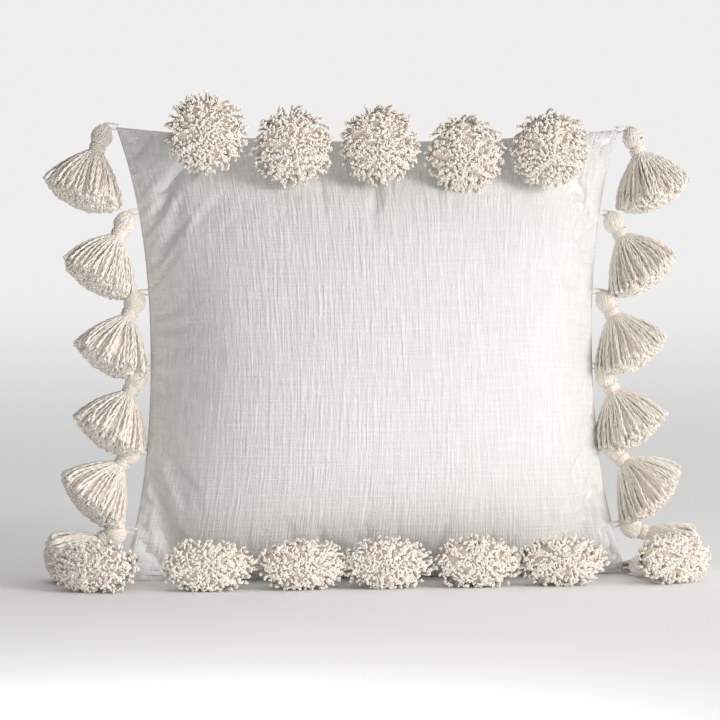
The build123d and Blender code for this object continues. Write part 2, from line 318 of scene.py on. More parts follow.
class PillowTassels(bpy.types.PropertyGroup):
    length: bpy.props.FloatProperty(
        name="Skirt length", description="Neck to cut ends",
        default=0.055, unit="LENGTH")
    spread: bpy.props.FloatProperty(
        name="Skirt spread", description="Radius of the cut ends",
        default=0.0385, unit="LENGTH")
    convexity: bpy.props.FloatProperty(
        name="Rounded cut", description="How much longer the middle yarns are",
        default=0.045, subtype="FACTOR")
    unevenness: bpy.props.FloatProperty(
        name="Uneven cut", description="Spread of the yarns' lengths",
        default=0.013, subtype="FACTOR")
    head_radius: bpy.props.FloatProperty(
        name="Head radius", description="Radius of the yarns' middle lines round the head",
        default=0.0092, unit="LENGTH")
    neck_radius: bpy.props.FloatProperty(
        name="Neck radius", description="Radius of the yarns' middle lines at the neck",
        default=0.0052, unit="LENGTH")
    head_yarns: bpy.props.IntProperty(
        name="Head yarns", description="Yarns that show round the head", default=42)
    under_yarns: bpy.props.IntProperty(
        name="Under yarns", description="Yarns just under the outer ones", default=70)
    inner_yarns: bpy.props.IntProperty(
        name="Inner yarns", description="Yarns that fill the skirt", default=360)
    ply_radius: bpy.props.FloatProperty(
        name="Ply radius", description="Radius of one of a yarn's two plies",
        default=0.00075, unit="LENGTH")
    twist: bpy.props.FloatProperty(
        name="Twist", description="Length of yarn for one full twist",
        default=0.017, unit="LENGTH")
    colour: bpy.props.FloatVectorProperty(
        name="Yarn colour", description="Colour of the tassel yarn",
        default=(0.97, 0.922, 0.872), size=3, subtype="COLOR")


class PillowStage(bpy.types.PropertyGroup):
    lens: bpy.props.FloatProperty(
        name="Lens", description="Focal length in millimetres", default=135.0)
    distance: bpy.props.FloatProperty(
        name="Camera distance", description="Camera to pillow", default=2.62, unit="LENGTH")
    bearing: bpy.props.FloatProperty(
        name="Camera bearing", description="Turn of the camera to the pillow's left",
        default=math.radians(7), subtype="ANGLE")
    height: bpy.props.FloatProperty(
        name="Camera height", description="Camera above the floor",
        default=0.32, unit="LENGTH")
    key_power: bpy.props.FloatProperty(
        name="Key light", description="Power of the large soft light", default=158.0, unit="POWER")
    fill_power: bpy.props.FloatProperty(
        name="Low fill", description="Power of the small light near the floor in front",
        default=3.0, unit="POWER")
    top_strength: bpy.props.FloatProperty(
        name="Overhead light", description="Strength of the soft light above", default=0.6)
    sky: bpy.props.FloatProperty(
        name="Surround", description="Brightness of the white surround behind", default=0.86)
    front_sky: bpy.props.FloatProperty(
        name="Front surround", description="Brightness of the surround in front", default=0.06)


def settings():
    """The cover's sizes and colour."""
    return bpy.context.scene.pillow_cover


def tassel_settings():
    """The tassels' sizes and colour."""
    return bpy.context.scene.pillow_tassels


# ---- shape of the filled cover ----

NET = 8
FRONT_ACROSS = (0, 0.72, 1.00, 1.06, 1.08, 1.06, 1.00, 0.72, 0)
BACK_ACROSS = (0, 0.95, 1.30, 1.12, 1.00, 1.12, 1.30, 0.95, 0)
FRONT_UP = (0, 0.58, 1.18, 1.22, 1.10, 0.98, 0.90, 0.72, 0)
BACK_UP = (0, 0.95, 1.42, 1.22, 1.10, 0.98, 0.86, 0.62, 0)
BACK_DROP = np.array((0, 70, 66, 22, 0, 0, 0, 0, 0)) * MM


def control_net(across_full, up_full, drop, depth):
    """Control points of one half of the cover, as the frame's own solid has them."""
    c = settings()
    mark = np.linspace(-1, 1, NET + 1)
    across, rise = np.meshgrid(mark, mark, indexing="ij")
    half = c.waist_half_width + (c.corner_half_width - c.waist_half_width) * abs(rise) ** 3
    top = c.seam_height - c.top_dip * (1 - across**2)
    x = across * half
    v = -c.below_floor + (top + c.below_floor) * (rise + 1) / 2
    v = v - drop[None, :] * (1 - across**4)
    d = depth * np.array(across_full)[:, None] * np.array(up_full)[None, :]
    y = c.foot + v * math.sin(c.lean) - d * math.cos(c.lean)
    z = v * math.cos(c.lean) + d * math.sin(c.lean)
    return np.stack([x, y, z], axis=-1)


def surface_grid(net, across, up):
    """Points of the smooth surface that a control net gives."""
    return np.einsum("ai,bj,ijc->abc", bernstein(NET, across), bernstein(NET, up), net)


def smooth_halves(columns, rows):
    """Front and back of the cover before the cloth is let loose."""
    c = settings()
    across = np.linspace(0, 1, columns + 1)
    up = np.linspace(0, 1, rows + 1)
    nothing = np.zeros(NET + 1)
    front = surface_grid(control_net(FRONT_ACROSS, FRONT_UP, nothing, c.front_depth), across, up)
    back = surface_grid(control_net(BACK_ACROSS, BACK_UP, BACK_DROP, -c.back_depth), across, up)
    for half in (front, back):
        half[..., 2] = np.maximum(half[..., 2], 0)
        half[..., 1] = np.minimum(half[..., 1], zip_face())
    return front, back


CLOTH_OVER_TAPE = 1.3 * MM
ZIP_STRIP = 12 * MM       # half the height of the flat strip round the zip
BEHIND = 30 * MM          # cloth further back than this belongs to the back of the cover


def zip_face():
    """Front to back place of the flat strip that holds the zip."""
    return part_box("zip_tape_upper")[1].y + CLOTH_OVER_TAPE


def zip_middle():
    """Centre of the zip's teeth."""
    low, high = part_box("zip_teeth")
    return (low + high) * 0.5


def zip_half_length():
    """Middle of the zip to the outer end of a stop, with a little room."""
    low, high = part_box("zip_stops")
    return (high.x - low.x) / 2 + 0.3 * MM


def closed_faces(columns, rows):
    """Quads of the whole cushion; the back shares the front's edge vertices."""
    front = np.arange((columns + 1) * (rows + 1)).reshape(columns + 1, rows + 1)
    back = front.copy()
    inner = (columns - 1) * (rows - 1)
    back[1:-1, 1:-1] = front.size + np.arange(inner).reshape(columns - 1, rows - 1)

    return np.concatenate([index_quads(front), index_quads(back)[:, ::-1]])


def closed_points(front, back):
    """The shared list of points of the whole cushion."""
    return np.concatenate([front.reshape(-1, 3), back[1:-1, 1:-1].reshape(-1, 3)])


def open_points(points, columns, rows):
    """Front and back grids from the shared list of points."""
    size = (columns + 1) * (rows + 1)
    front = points[:size].reshape(columns + 1, rows + 1, 3).copy()
    back = front.copy()
    back[1:-1, 1:-1] = points[size:].reshape(columns - 1, rows - 1, 3)
    return front, back


def near_zip(points, spread):
    """1 on the flat strip round the zip, falling to 0 over spread metres."""
    centre = zip_middle()
    along = eased(np.abs(points[..., 0] - centre.x), zip_half_length(), zip_half_length() + spread)
    above = eased(np.abs(points[..., 2] - centre.z), ZIP_STRIP, ZIP_STRIP + spread)
    behind = points[..., 1] > BEHIND
    return (1 - along) * (1 - above) * behind


SIM_COLUMNS = 104
SIM_ROWS = 96
SIM_FRAMES = 22


def let_cloth_settle(points, faces, held):
    """Fill the cover under pressure, with its seam, foot and zip strip held, and read it back."""
    c = settings()
    blank = mesh_object("cover_blank", points, [faces])
    group = blank.vertex_groups.new(name="held")
    group.add([int(i) for i in np.nonzero(held)[0]], 1.0, "REPLACE")
    cloth = blank.modifiers.new("Cloth", "CLOTH")
    cloth.point_cache.frame_start = 1
    cloth.point_cache.frame_end = SIM_FRAMES
    cloth.settings.quality = 6
    cloth.settings.mass = 0.12
    cloth.settings.tension_stiffness = 20
    cloth.settings.compression_stiffness = 12
    cloth.settings.shear_stiffness = 6
    cloth.settings.bending_stiffness = 0.35
    cloth.settings.use_pressure = True
    cloth.settings.uniform_pressure_force = c.pressure
    cloth.settings.shrink_min = -c.fullness
    cloth.settings.vertex_group_mass = "held"
    cloth.settings.effector_weights.gravity = 0
    cloth.collision_settings.use_collision = False
    scene = bpy.context.scene
    for step in range(1, SIM_FRAMES + 1):
        scene.frame_set(step)
    ready = blank.evaluated_get(bpy.context.evaluated_depsgraph_get())
    out = np.zeros(len(points) * 3, np.float32)
    ready.data.vertices.foreach_get("co", out)
    scene.frame_set(1)
    bpy.data.objects.remove(blank)
    return out.reshape(-1, 3).astype(float)


def filled_halves():
    """The settled front and back of the cover, as coarse grids."""
    c = settings()
    front, back = smooth_halves(SIM_COLUMNS, SIM_ROWS)
    start = closed_points(front, back)
    edge = np.zeros(front.shape[:2], bool)
    edge[[0, -1]] = True
    edge[:, [0, -1]] = True
    strip = near_zip(back, 0.01) > 0.5
    on_floor = (front[..., 2] < MM, back[..., 2] < MM)
    held = np.concatenate(
        [(edge | on_floor[0]).ravel(), (strip | on_floor[1])[1:-1, 1:-1].ravel()]
    )
    faces = closed_faces(SIM_COLUMNS, SIM_ROWS)
    points = let_cloth_settle(start, faces, held)
    move = points - start
    length = np.linalg.norm(move, axis=1, keepdims=True)
    limit = c.most_swell
    move *= limit * np.tanh(length / limit) / np.maximum(length, 1e-9)
    points = start + move
    points[:, 2] = np.maximum(points[:, 2], 0)
    return open_points(points, SIM_COLUMNS, SIM_ROWS)


# ---- cloth surface ----


def slub_relief(across, up):
    """Height of thick and thin yarns in the cloth, in metres."""
    size = settings().flat_size
    warp = streaks(across, up, 3.0 * MM, 26 * MM, size, 3)
    thick = streaks(across, up, 5.0 * MM, 48 * MM, size, 5)
    weft = streaks(across, up, 30 * MM, 3.2 * MM, size, 7)
    return (0.09 * warp + 0.12 * np.maximum(thick, 0) + 0.05 * weft) * MM


def panel_object(name, outer, places, edge_mask):
    """A panel with cloth thickness: outer face, inner face and rim, thin at the seam."""
    c = settings()
    rows, columns = outer.shape[:2]
    normal = grid_normals(outer)
    if name.startswith("cover_back"):
        normal = -normal
    inner = outer - normal * (c.thickness * edge_mask)[..., None]
    index = np.arange(rows * columns).reshape(rows, columns)
    outer_faces = index_quads(index)
    inner_faces = index_quads(index + rows * columns)[:, ::-1]
    loop = np.concatenate([index[0, :-1], index[:-1, -1], index[-1, :0:-1], index[:0:-1, 0]])
    following = np.roll(loop, -1)
    rim = np.stack([following, loop, loop + rows * columns, following + rows * columns], axis=-1)
    faces = np.concatenate([outer_faces, inner_faces, rim[:, ::-1]])
    if name.startswith("cover_back"):
        faces = faces[:, ::-1]
    points = np.concatenate([outer.reshape(-1, 3), inner.reshape(-1, 3)])
    place = np.concatenate([places.reshape(-1, 3)] * 2)
    return mesh_object(name, points, [faces], [("cloth_place", "FLOAT_VECTOR", place)])


def seam_mask(across, up, sides):
    """Share of full cloth thickness: thin along the named sides, full elsewhere."""
    gap = np.full(across.shape, 1.0)
    if "left" in sides:
        gap = np.minimum(gap, np.minimum(across, 1 - across))
    if "top" in sides:
        gap = np.minimum(gap, 1 - up)
    if "bottom" in sides:
        gap = np.minimum(gap, up)
    return 0.12 + 0.88 * eased(gap, 0.0, 0.02)


def finer(half, across, up, zip_flat):
    """A half of the cover read at fine places, with the slub relief laid on."""
    points = sampled(half, across, up)
    normal = grid_normals(points)
    if zip_flat:
        normal = -normal
        flat = near_zip(points, 0.02)
        points[..., 1] += (zip_face() - points[..., 1]) * flat
    lift = slub_relief(across, up) * eased(np.minimum(across, 1 - across), 0, 0.01)
    points += normal * (lift * eased(np.minimum(up, 1 - up), 0, 0.01))[..., None]
    points[..., 2] = np.maximum(points[..., 2], 0)
    return points


FINE_COLUMNS = 214
FINE_ROWS = 204


def places_of(across, up):
    """Places on the flat cloth, which the weave follows."""
    size = settings().flat_size
    return np.stack([across * size, up * size, np.zeros_like(across)], axis=-1)


class PILLOW_OT_cover_front(bpy.types.Operator):
    """Cut and fill the front of the cover"""
    bl_idname = "pillow.cover_front"
    bl_label = "Front panel"

    def execute(self, context):
        made["front"], made["back"] = filled_halves()
        across, up = np.meshgrid(
            np.linspace(0, 1, FINE_COLUMNS + 1), np.linspace(0, 1, FINE_ROWS + 1), indexing="ij")
        points = finer(made["front"], across, up, False)
        mask = seam_mask(across, up, ("left", "top", "bottom"))
        piece = panel_object("cover_front", points, places_of(across, up), mask)
        finish_piece(piece, "root", "Slub cotton", ["front_panel"])
        return {"FINISHED"}


def zip_rise(across):
    """How far up the back, as a share, the zip's middle line runs at each place across."""
    low = np.full(across.shape, 0.02)
    high = np.full(across.shape, 0.9)
    height = zip_middle().z
    for _ in range(40):
        middle = (low + high) / 2
        over = sampled(made["back"], across, middle)[..., 2] > height
        high = np.where(over, middle, high)
        low = np.where(over, low, middle)
    return (low + high) / 2


def back_panel(name, node, lower):
    """One of the two back panels, with its edge drawn back from the zip."""
    rows = int(FINE_ROWS * (0.34 if lower else 0.72))
    across, share = np.meshgrid(
        np.linspace(0, 1, FINE_COLUMNS + 1), np.linspace(0, 1, rows + 1), indexing="ij")
    line = zip_rise(across[:, 0])[:, None]
    up = line * share if lower else line + (1 - line) * share
    points = finer(made["back"], across, up, True)
    centre = zip_middle()
    gap = 6.5 * MM
    ends = 1 - eased(np.abs(points[..., 0]), zip_half_length() - 2 * MM, zip_half_length() + 5 * MM)
    away = np.abs(points[..., 2] - centre.z)
    side = -1 if lower else 1
    near = np.exp(-away / (12 * MM)) * (points[..., 1] > BEHIND)
    points[..., 2] += side * gap * ends * near
    mask = seam_mask(across, up, ("left", "bottom" if lower else "top"))
    piece = panel_object(name, points, places_of(across, up), mask)
    return finish_piece(piece, "root", "Slub cotton", [node])


class PILLOW_OT_cover_back(bpy.types.Operator):
    """Cut and fill the two back panels, above and below the zip"""
    bl_idname = "pillow.cover_back"
    bl_label = "Back panels"

    def execute(self, context):
        back_panel("cover_back_lower", "back_panel_lower", True)
        back_panel("cover_back_upper", "back_panel_upper", False)
        return {"FINISHED"}


class PILLOW_OT_insert(bpy.types.Operator):
    """Make the inner cushion and its filling a little smaller than the cover"""
    bl_idname = "pillow.insert"
    bl_label = "Inner cushion"

    def execute(self, context):
        centre = np.array([0, settings().foot + 0.025, settings().seam_height / 2])
        faces = closed_faces(SIM_COLUMNS, SIM_ROWS)
        # Name, node, size as a share of the cover's, room behind the zip, slot and finish.
        for name, node, share, room, slot, finish in (
            ("cushion_ticking", "insert_ticking", 0.976, 5.6 * MM, "ticking", "Cotton ticking"),
            ("cushion_filling", "fibre_fill", 0.955, 8.0 * MM, "fibre", "Polyester fibre"),
        ):
            points = centre + (closed_points(made["front"], made["back"]) - centre) * share
            points[:, 1] = np.minimum(points[:, 1], zip_face() - room)
            piece = mesh_object(name, points, [faces])
            finish_piece(piece, "root", finish, [node])
        return {"FINISHED"}


# ---- tassels ----


class TasselPlace:
    """Hinge, direction and own axes of one tassel, read from the frame."""

    def __init__(self, body):
        self.body = body
        self.name = body[len("tassel_"):]
        self.hinge = np.array(HINGES[body]["pos_m"])
        ring = frame["nodes"]["binding_" + self.name].data.vertices
        middle = np.array([v.co for v in ring]).mean(0)
        self.along = (middle - self.hinge) / np.linalg.norm(middle - self.hinge)
        lowest = self.name in ("left_5", "right_5")
        self.stretch, self.sag = AGAINST_FLOOR if lowest else HANGING
        if self.name.startswith("bottom"):
            self.stretch, self.sag = ON_FLOOR
        wide = np.cross(self.along, DOWN)
        self.wide = wide / np.linalg.norm(wide)
        self.thin = np.cross(self.along, self.wide)
        self.seed = TASSELS.index(body) + 11

    def to_world(self, local):
        axes = np.stack([self.wide, self.thin, self.along])
        return self.hinge + local @ axes


HEAD_END = 21 * MM
NECK_END = 27 * MM
OFF_COVER = 1.5 * MM      # room between a yarn's middle line and the cover
CORE_OFF_COVER = 3 * MM

# How a skirt is stretched across, front to back and along, and how far its cut ends sag.
HANGING = ((1.0, 1.0, 1.0), 8 * MM)
ON_FLOOR = ((1.14, 0.66, 0.93), 6 * MM)
AGAINST_FLOOR = ((0.88, 0.64, 0.97), 5 * MM)


def bell(share):
    """Share of a skirt's full spread at each share of its length."""
    return 0.45 * share + 0.55 * (1 - (1 - share) ** 2)


def skirt_run(rng, angle, start_radius, end_radius, first, points, stretch, loose):
    """Middle lines of yarns from the neck to the cut ends, in the tassel's own axes."""
    t = tassel_settings()
    count = len(angle)
    share = first + (1 - first) * np.append(np.linspace(0, 0.965, points - 1), 1.0)[None, :]
    locks = rng.uniform(0, 2 * math.pi, 3)
    gather = sum(size * np.sin(n * angle + locks[k]) for k, (n, size) in enumerate(
        ((3, 0.10), (7, 0.085), (11, 0.055))))
    fullness = end_radius / t.spread
    longer = 1 + t.convexity * (1 - fullness**2) + rng.normal(0, t.unevenness, count)
    length = (t.length * stretch[2] * longer)[:, None]
    reach = (end_radius - start_radius)[:, None]
    slope = np.clip(reach / length, 0, 0.85)
    radius = start_radius[:, None] + reach * bell(share)
    turned = angle[:, None] + (gather[:, None] + rng.normal(0, 0.05, (count, 1))) * share
    s = NECK_END + length * share * np.sqrt(1 - slope**2)
    x = radius * np.cos(turned) * stretch[0]
    y = radius * np.sin(turned) * stretch[1]
    wave = np.zeros((count, points, 3))
    for turns, size in ((1.7, 0.75), (3.6, 0.42), (6.5, 0.2)):
        phase = rng.uniform(0, 2 * math.pi, (count, 1, 3))
        push = rng.normal(0, size * loose * MM, (count, 1, 3))
        wave += push * (np.sin(turns * math.pi * share[..., None] + phase) - np.sin(phase))
    wave *= (share**0.7)[..., None]
    wave[..., 2] *= 0.3
    return np.stack([x, y, s], axis=-1) + wave


def head_run(angle, points):
    """Middle lines of the yarns over the round head down to the neck."""
    t = tassel_settings()
    s = np.linspace(0.8 * MM, HEAD_END, points)
    share = s / HEAD_END
    base = 1.5 * MM + (t.neck_radius - 1.5 * MM) * share
    bulge = t.head_radius - (1.5 * MM + t.neck_radius) / 2
    radius = base + bulge * np.sin(math.pi * share) ** 0.75
    x = radius[None] * np.cos(angle)[:, None]
    y = radius[None] * np.sin(angle)[:, None]
    return np.stack([x, y, np.broadcast_to(s[None], x.shape)], axis=-1)


def droop(place, local):
    """Bend a skirt down under its own weight, in the tassel's own axes."""
    down = np.array([-place.wide[2], -place.thin[2], 0.0])
    share = np.clip((local[..., 2:] - NECK_END) / tassel_settings().length, 0, 1.3)
    return local + down * place.sag * share**2


def two_plies(paths, rng, ply, twist, frayed=True):
    """The two plies of each yarn wound round its middle line, opening at the cut end."""
    count = len(paths)
    run = length_along(paths)
    tangent = directions(paths)
    helper = np.array([0.31, 0.83, 0.46])
    side = np.cross(tangent, helper)
    side /= np.maximum(np.linalg.norm(side, axis=-1, keepdims=True), 1e-12)
    other = np.cross(tangent, side)
    left = run[:, -1:] - run
    opening = np.exp(-left / (3.5 * MM)) if frayed else np.zeros_like(run)
    turn = 2 * math.pi * run / twist + rng.uniform(0, 2 * math.pi, (count, 1))
    offset = ply * (0.85 + 0.45 * opening)
    swing = side * np.cos(turn)[..., None] + other * np.sin(turn)[..., None]
    one = paths + swing * offset[..., None]
    two = paths - swing * offset[..., None]
    radii = ply * rng.uniform(0.88, 1.12, (count, 1)) * (1 + 0.9 * opening)
    if frayed:
        radii[:, -1] *= 0.62
    for ply_path in (one, two):
        ply_path[..., 2] = np.maximum(ply_path[..., 2], radii + 0.2 * MM)
    return np.concatenate([one, two]), np.concatenate([radii, radii])


def keep_off(paths, clearance):
    """Push points out of the cover, and nearly all the way up from the floor."""
    surface = cover_surface()
    flat = paths.reshape(-1, 3)
    for k, point in enumerate(flat):
        hit, normal, _, distance = surface.find_nearest(Vector(point), 0.05)
        if hit is None:
            continue
        offset = Vector(point) - hit
        if offset.dot(normal) < -0.6 * distance:
            flat[k] = np.array(hit + normal * clearance)
        elif distance < clearance:
            flat[k] = np.array(hit + offset * (clearance / max(distance, 1e-6)))
    under = clearance - flat[:, 2]
    flat[:, 2] = np.where(under > 0, clearance + 0.12 * under, flat[:, 2])
    return flat.reshape(paths.shape)


def cover_surface():
    """A search tree of the whole filled cover, with normals outward."""
    if "surface" not in made:
        points = closed_points(made["front"], made["back"])
        faces = closed_faces(SIM_COLUMNS, SIM_ROWS)
        made["surface"] = BVHTree.FromPolygons(points.tolist(), faces.tolist())
    return made["surface"]


def packed_middle(place, rng):
    """The lumpy solid middle of a skirt, just inside its outer yarns and cut ends; between them it
    shows in the darkest yarn colour as painted shade.
    """
    t = tassel_settings()
    stretch = place.stretch
    around = 40
    rings = 14
    caps = 11
    turn = np.arange(around) * 2 * math.pi / around
    share = np.linspace(0, 0.92, rings)
    length = t.length * stretch[2]
    reach = t.spread - t.neck_radius
    outer = t.neck_radius + reach * bell(share)
    side = outer * 0.83 - 0.6 * MM
    side_run = NECK_END + length * share * math.sqrt(1 - (reach / length) ** 2)
    inward = np.linspace(1, 0.03, caps)
    middle_run = NECK_END + length * (1 + t.convexity) - 5 * MM
    cap_run = side_run[-1] + (middle_run - side_run[-1]) * (1 - inward**2) ** 0.8
    radius = np.concatenate([side, side[-1] * inward])
    run = np.concatenate([side_run, cap_run])
    lumps = rng.normal(0, 0.6 * MM, (len(run), around)) * np.minimum(radius / reach, 1)[:, None]
    x = (radius[:, None] + lumps) * np.cos(turn) * stretch[0]
    y = (radius[:, None] + lumps) * np.sin(turn) * stretch[1]
    s = run[:, None] + rng.normal(0, 0.6 * MM, lumps.shape) * (run[:, None] > side_run[-1])
    local = np.stack([x, y, np.broadcast_to(s, x.shape)], axis=-1).transpose(1, 0, 2)
    world = keep_off(place.to_world(droop(place, local)), CORE_OFF_COVER)
    count = len(run)
    index = np.arange(around * count).reshape(around, count)
    after = np.roll(index, -1, axis=0)
    quads = np.stack(
        [index[:, :-1], after[:, :-1], after[:, 1:], index[:, 1:]], axis=-1).reshape(-1, 4)
    ends = [index[None, ::-1, 0], index[None, :, -1]]
    return world.reshape(-1, 3), [quads, *ends]


def make_tassel(body):
    """One tassel: yarns over a round head, gathered at the neck, opening to a cut skirt."""
    t = tassel_settings()
    place = TasselPlace(body)
    rng = np.random.default_rng(place.seed)
    stretch = place.stretch
    # Each layer holds its yarns, how many of their points lie in the head, and a tube's sides.
    layers = []
    outer = (np.arange(t.head_yarns) + rng.uniform(-0.2, 0.2, t.head_yarns))
    outer *= 2 * math.pi / t.head_yarns
    neck = np.full(t.head_yarns, t.neck_radius)
    ends = t.spread * rng.uniform(0.93, 1.03, t.head_yarns)
    skirt = skirt_run(rng, outer, neck, ends, 0.0, 17, stretch, 0.85)
    layers.append((np.concatenate([head_run(outer, 9), skirt], axis=1), 9, 5))
    # Yarns, their least and most spread, where they start, their points and a tube's sides.
    for yarns, low, high, first, points, sides in (
        (t.under_yarns, 0.74, 0.95, 0.0, 13, 5),
        (t.inner_yarns, 0.02, 0.84, 0.6, 5, 5),
    ):
        order = (np.arange(yarns) + 0.5) / yarns
        size = np.sqrt(low**2 + (high**2 - low**2) * order)
        angle = np.arange(yarns) * math.pi * (3 - math.sqrt(5)) + rng.normal(0, 0.1, yarns)
        inner = skirt_run(
            rng, angle, t.neck_radius * size, t.spread * size, first, points, stretch, 0.7)
        layers.append((inner, 0, sides))
    groups = []
    for yarns, first, sides in layers:
        world = place.to_world(droop(place, yarns))
        world[:, first:] = keep_off(world[:, first:], OFF_COVER)
        paths, radii = two_plies(world, rng, t.ply_radius, t.twist)
        tone = np.tile(rng.uniform(0.25, 1, len(yarns)), 2)
        groups.append((paths, radii, tone, sides))
    hank = joined_tubes("yarn_" + place.name, groups, [packed_middle(place, rng)])
    finish_piece(hank, body, "Tassel yarn", [body])
    wind_neck(place, rng)
    return place


def wind_neck(place, rng):
    """The yarn wound round the neck."""
    t = tassel_settings()
    turns = 4.2
    points = 90
    share = np.linspace(0, 1, points)
    angle = share * turns * 2 * math.pi
    radius = t.neck_radius + 1.9 * MM + 0.25 * MM * np.sin(angle * 1.7)
    s = HEAD_END + 0.4 * MM + share * 5.4 * MM + 0.2 * MM * np.sin(angle * 0.63)
    local = np.stack([radius * np.cos(angle), radius * np.sin(angle), s], axis=-1)[None]
    world = place.to_world(local)
    paths, radii = two_plies(world, rng, 0.7 * MM, 6 * MM, frayed=False)
    piece = joined_tubes("wrap_" + place.name, [(paths, radii, np.array([0.5, 0.6]), 6)])
    finish_piece(piece, place.body, "Tassel yarn", ["binding_" + place.name])


class PILLOW_OT_tassels(bpy.types.Operator):
    """Tie all the tassels and bind their necks"""
    bl_idname = "pillow.tassels"
    bl_label = "Tassels"

    def execute(self, context):
        made["places"] = [make_tassel(body) for body in TASSELS]
        return {"FINISHED"}


class PILLOW_OT_loops(bpy.types.Operator):
    """Catch a loop of cord in the seam for each tassel"""
    bl_idname = "pillow.loops"
    bl_label = "Hanging loops"

    def execute(self, context):
        rng = np.random.default_rng(5)
        seam = seam_points()
        paths = []
        for place in made["places"]:
            edge = seam[np.argmin(np.linalg.norm(seam - place.hinge, axis=1))]
            out = place.hinge - edge
            out /= np.linalg.norm(out)
            along = np.cross(out, place.wide if abs(out @ place.wide) < 0.7 else place.thin)
            if place.name.startswith(("top", "bottom")):
                along = ACROSS
            share = np.linspace(-1, 1, 25)[:, None]
            reach = np.linalg.norm(place.hinge - edge) + 4 * MM
            bow = np.sqrt(1 - np.abs(share) ** 2.4)
            start = edge - out * 2.5 * MM
            path = start + out * reach * bow + along * share * 2.6 * MM
            path[:, 2] = np.maximum(path[:, 2], 1.2 * MM)
            paths.append(path)
        paths, radii = two_plies(np.array(paths), rng, 0.75 * MM, 9 * MM, frayed=False)
        tone = np.tile(rng.uniform(0.3, 0.7, len(made["places"])), 2)
        piece = joined_tubes("seam_loops", [(paths, radii, tone, 6)])
        finish_piece(piece, "root", "Tassel yarn", ["hanging_loops"])
        return {"FINISHED"}


def seam_points():
    """Points all along the seam."""
    front = made["front"]
    return np.concatenate([front[0], front[-1], front[:, 0], front[:, -1]])


# ---- zip ----


class PILLOW_OT_zip(bpy.types.Operator):
    """Lay the coil between the tapes and stitch the panels down"""
    bl_idname = "pillow.zip"
    bl_label = "Zip"

    def execute(self, context):
        nodes = frame["nodes"]
        for name in ("zip_tape_upper", "zip_tape_lower", "zip_stops", "zip_slider", "zip_pull"):
            nodes[name].data.materials.clear()
            finish = "Zip tape" if "tape" in name else "Painted zinc"
            nodes[name].data.materials.append(finish_called(finish))
        lay_coil()
        sew_panels_to_tape()
        return {"FINISHED"}


def lay_coil():
    """Two meshed nylon coils along the zip."""
    low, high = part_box("zip_teeth")
    pitch = 2 * MM
    coil_rise = 1.45 * MM
    coil_depth = 0.72 * MM
    apart = 1.15 * MM
    wire = 0.4 * MM
    turns = int((high.x - low.x) / pitch)
    share = np.linspace(0, 1, turns * 10 + 1)
    groups = []
    for side in (1, -1):
        angle = share * turns * 2 * math.pi + (math.pi if side < 0 else 0)
        x = low.x + 1 * MM + share * (high.x - low.x - 2 * MM)
        z = (low.z + high.z) / 2 + side * (apart + coil_rise * np.cos(angle))
        y = (low.y + high.y) / 2 + coil_depth * np.sin(angle)
        path = np.stack([x, y, z], axis=-1)[None]
        groups.append((path, np.full((1, len(share)), wire), np.array([0.5]), 6))
    piece = joined_tubes("zip_coil", groups)
    finish_piece(piece, "root", "Nylon coil", ["zip_teeth"])


def sew_panels_to_tape():
    """Two rows of stitches beside the zip and one across each end."""
    centre = zip_middle()
    half = zip_half_length() + 3 * MM
    rise = 11 * MM
    stitch = 3.4 * MM
    starts = []
    count = int(2 * half / (stitch * 1.25))
    for side in (-1, 1):
        for k in range(count):
            x = -half + (k + 0.5) * 2 * half / count
            starts.append(((x, centre.z + side * rise), (1.0, 0.0)))
        rows = int(2 * rise / (stitch * 1.25))
        for k in range(rows):
            z = centre.z - rise + (k + 0.5) * 2 * rise / rows
            starts.append(((side * half, z), (0.0, 1.0)))
    share = np.linspace(-1, 1, 7)
    paths = []
    for (x, z), (dx, dz) in starts:
        bow = 0.35 * MM * (1 - share**2) + 0.05 * MM
        paths.append(np.stack([
            x + dx * share * stitch / 2,
            zip_face() + bow,
            z + dz * share * stitch / 2,
        ], axis=-1))
    paths = np.array(paths)
    radii = np.full(paths.shape[:2], 0.28 * MM)
    tone = np.random.default_rng(9).uniform(0.3, 0.7, len(paths))
    piece = joined_tubes("zip_stitching", [(paths, radii, tone, 6)])
    finish_piece(piece, "root", "Sewing thread")


# ---- materials ----


def node_group(name, inputs, outputs):
    """An empty shader node group with named sockets and its two end nodes."""
    group = bpy.data.node_groups.new(name, "ShaderNodeTree")
    for label, kind, value in inputs:
        socket = group.interface.new_socket(name=label, in_out="INPUT", socket_type=kind)
        if value is not None:
            socket.default_value = value
    for label, kind in outputs:
        group.interface.new_socket(name=label, in_out="OUTPUT", socket_type=kind)
    return group, group.nodes.new("NodeGroupInput"), group.nodes.new("NodeGroupOutput")


def math_node(tree, operation, first, second=None):
    node = tree.nodes.new("ShaderNodeMath")
    node.operation = operation
    for k, value in enumerate((first, second)):
        if value is None:
            continue
        if isinstance(value, (int, float)):
            node.inputs[k].default_value = value
        else:
            tree.links.new(value, node.inputs[k])
    return node.outputs[0]


def scaled_place(tree, place, scale):
    node = tree.nodes.new("ShaderNodeMapping")
    node.inputs["Scale"].default_value = scale
    tree.links.new(place, node.inputs["Vector"])
    return node.outputs[0]


def noise(tree, place, scale, detail=2.0, rough=0.5):
    node = tree.nodes.new("ShaderNodeTexNoise")
    node.inputs["Scale"].default_value = scale
    node.inputs["Detail"].default_value = detail
    node.inputs["Roughness"].default_value = rough
    tree.links.new(place, node.inputs["Vector"])
    return node.outputs["Fac"]


def ranged(tree, value, low, high, to_low=0.0, to_high=1.0):
    node = tree.nodes.new("ShaderNodeMapRange")
    node.inputs["From Min"].default_value = low
    node.inputs["From Max"].default_value = high
    node.inputs["To Min"].default_value = to_low
    node.inputs["To Max"].default_value = to_high
    tree.links.new(value, node.inputs["Value"])
    return node.outputs[0]


